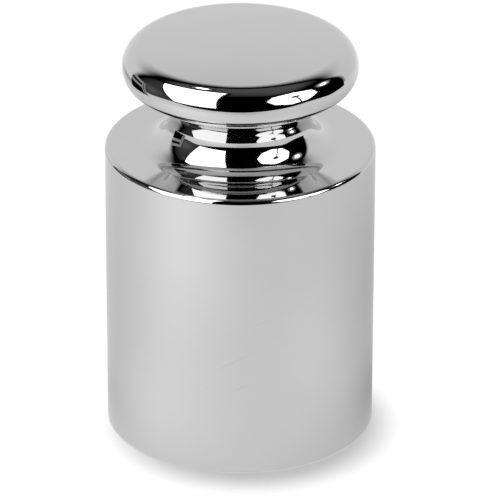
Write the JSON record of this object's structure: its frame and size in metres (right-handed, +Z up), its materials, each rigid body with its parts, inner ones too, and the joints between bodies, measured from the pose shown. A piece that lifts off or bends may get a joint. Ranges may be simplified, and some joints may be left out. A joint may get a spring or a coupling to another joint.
{
  "type": "calibration weight",
  "caption": "Cylindrical knob weight in mirror-polished stainless steel: upright cylinder, flat shoulder, concave neck groove and a wide rounded disc knob for a fork or fingers.",
  "frame": {"origin": "centre of the flat base, on the axis of rotation", "axes": "+Z up along the axis of rotation, from the base to the knob; X and Y are free, because the part is a body of revolution"},
  "size_m": [0.0494, 0.0494, 0.0758],
  "materials": {
    "polished_steel": "mirror-polished austenitic stainless steel, turned and buffed, no plating"
  },
  "bodies": {
    "root": {"weight": "polished_steel"}
  },
  "joints": []
}
